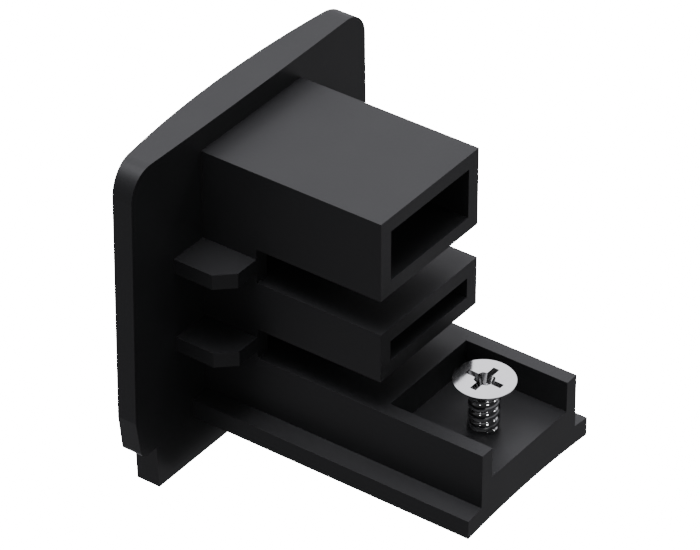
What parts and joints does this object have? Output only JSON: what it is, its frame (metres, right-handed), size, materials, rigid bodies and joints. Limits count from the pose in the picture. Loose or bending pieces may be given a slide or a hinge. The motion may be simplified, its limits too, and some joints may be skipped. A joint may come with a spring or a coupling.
{
  "type": "profile end cap",
  "caption": "Moulded end cap for a hollow track profile: a crowned cover plate with an open box core, side tabs and a foot rail, held in the profile by a countersunk clamp screw.",
  "frame": {"origin": "on the cover's flat seat face, at mid-width, level with the underside edges of the foot rail", "axes": "+X out of the seat face and along the profile that the core plugs into, +Y across the cap, +Z from the foot rail up to the upper box"},
  "size_m": [0.0342, 0.0354, 0.0354],
  "materials": {
    "black_plastic": "matt black with a very fine moulded grain",
    "screw_steel": "bright nickel-plated steel"
  },
  "bodies": {
    "root": {"cap_body": "black_plastic", "clamp_screw": "screw_steel"}
  },
  "joints": []
}
